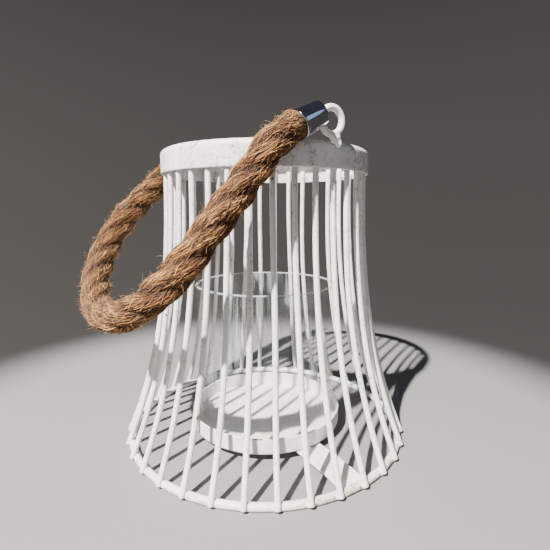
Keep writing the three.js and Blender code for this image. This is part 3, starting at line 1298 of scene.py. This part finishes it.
def addGlass():
    wall = glass["wall"]
    radius = glass["radius"]
    low = glass["bottom"]
    floorLevel = low + glass["base"]
    heel = glass["heel"]
    inner = glass["floorRound"]
    outline = [(0, low)]
    outline += arc((radius - heel, low + heel), heel, -90, 0, 10)
    belowRim = glass["top"] - glass["rimDepth"] - glass["rimFade"]
    outline.append((radius, belowRim))
    outline += arc((radius - wall / 2, glass["top"] - wall / 2), wall / 2, 0, 180, 10)
    outline.append((radius - wall, belowRim))
    outline += arc((radius - wall - inner, floorLevel + inner), inner, 0, -90, 8)
    outline.append((0, floorLevel))
    points, faces = revolve(outline, glass["steps"])
    piece = addPiece(
        "candle_glass", points, faces, glassMaterial(), "glass", "clear_glass", ["glass_cylinder"]
    )
    piece.visible_shadow = False  # clear glass lets the lamps through
    edgeFrom = glass["top"] - glass["rimDepth"]
    # painted highlight: the band at the top of the rim is made more opaque
    rim = [glass["paintedRimHighlight"] if v.co.z > edgeFrom else 0.0 for v in piece.data.vertices]
    setAttribute(piece, "rim", rim)


addGlass()
print("glass made")

# Eyelets: a ring and a shank bent from one rod, under a thick coat of paint


def addEyelet(place, side):
    middle = eyeletMiddle(side)
    wire = eyelet["wire"] / 2
    ringRadius = eyelet["hole"] / 2 + wire
    points, faces = torusAt(middle, backward, ringRadius, wire, *eyelet["ringSteps"])
    lean = math.radians(eyelet["shankLean"])
    down = -up * math.cos(lean) - outward * math.sin(lean)
    # the shank is a rod with blunt ends
    length = eyelet["shankReach"] - ringRadius - wire
    rows = arc((0, 0), wire, -90, 0, 6) + arc((0, length), wire, 0, 90, 6)
    rod, rodFaces = revolve(rows, eyelet["shankSteps"])
    top = middle + down * ringRadius
    across = down.cross(backward)
    shank = [top + across * p.x + backward * p.y + down * p.z for p in rod]
    gather(points, faces, shank, rodFaces)
    weldMiddle = top + down * eyelet["weldDrop"] - across * eyelet["weldAside"]
    weld = blobAt(
        weldMiddle, (across, backward, down), eyelet["weld"], side * 2.0, *eyelet["weldSteps"]
    )
    gather(points, faces, *weld)
    piece = addPiece(
        f"painted_eyelet_{place}", points, faces, eyeletFinish, "cage", "eyelet_paint",
        [f"eyelet_{place}"],
    )
    join = piece.modifiers.new("join", "REMESH")
    join.mode = "VOXEL"
    join.voxel_size = eyelet["voxel"]
    soften = piece.modifiers.new("soften", "SMOOTH")
    soften.iterations = eyelet["softening"]
    bakeModifiers(piece)
    wear = [max(0.0, 0.05 + 0.5 * wander(v.co, 90, 3.0)) for v in piece.data.vertices]
    setAttribute(piece, "wear", wear)


for place, side in (("front", -1), ("rear", 1)):
    addEyelet(place, side)
print("eyelets made")

# Studio: a pale floor that sweeps up into a darker backdrop all round

studio = {
    "floor": (0.204, 0.199, 0.203),
    "wall": (0.013, 0.012, 0.011),
    "fadeFrom": 0.25,  # distance from the middle where the floor's tone starts to fade
    "fadeTo": 0.38,
    "floorRadius": 0.26,
    "bowlRadius": 2.6,
    "bowlHeight": 2.0,
    "bowlCurve": 2.4,
    "steps": 96,
    "roughness": 0.8,
    "aim": (0, 0, 0.11),
    "sky": (0.55, 0.62, 0.78),
    "skyStrength": 0.10,
    "key": {
        "place": (-1.10, -1.62, 2.25),
        "size": 0.07,
        "power": 515,
        "colour": (1.0, 0.965, 0.92),
    },
    "fill": {
        "place": (1.26, -0.58, 1.02),
        "size": 0.6,
        "power": 1.1,
        "colour": (0.36, 0.52, 1.0),
    },
}


def addStudio():
    outline = [(studio["floorRadius"] * i / 4, 0) for i in range(5)]
    sweep = studio["bowlRadius"] - studio["floorRadius"]
    for i in range(1, 41):
        t = i / 40
        rise = studio["bowlHeight"] * t ** studio["bowlCurve"]
        outline.append((studio["floorRadius"] + sweep * t, rise))
    points, faces = revolve(outline, studio["steps"], closed=False)
    material, tree, shader = startMaterial("paleSweep")
    place = objectPlace(tree)
    reach = addNode(tree, "VectorMath", {0: place}, operation="LENGTH").outputs["Value"]
    fade = addNode(
        tree, "MapRange",
        {"Value": reach, "From Min": studio["fadeFrom"], "From Max": studio["fadeTo"]},
        interpolation_type="SMOOTHSTEP",
    ).outputs["Result"]
    tone = blendColour(tree, fade, studio["floor"], studio["wall"])
    tree.links.new(tone, shader.inputs["Base Color"])
    shader.inputs["Roughness"].default_value = studio["roughness"]
    floor = addMesh("floor", points, faces, material)
    floor.data.flip_normals()  # to face up


def addLight(name, place, size, power, colour):
    lamp = bpy.data.lights.new(name, "AREA")
    lamp.shape = "DISK"
    lamp.size = size
    lamp.energy = power
    lamp.color = colour
    light = bpy.data.objects.new(name, lamp)
    light.location = place
    aim = Vector(studio["aim"]) - Vector(place)
    light.rotation_euler = aim.to_track_quat("-Z", "Y").to_euler()
    bpy.context.scene.collection.objects.link(light)


addStudio()
for name in ("key", "fill"):
    addLight(name, **studio[name])
world = bpy.data.worlds.new("studio")
world.use_nodes = True
sky = world.node_tree.nodes["Background"]
sky.inputs["Color"].default_value = (*studio["sky"], 1)
sky.inputs["Strength"].default_value = studio["skyStrength"]
bpy.context.scene.world = world
print("studio made")
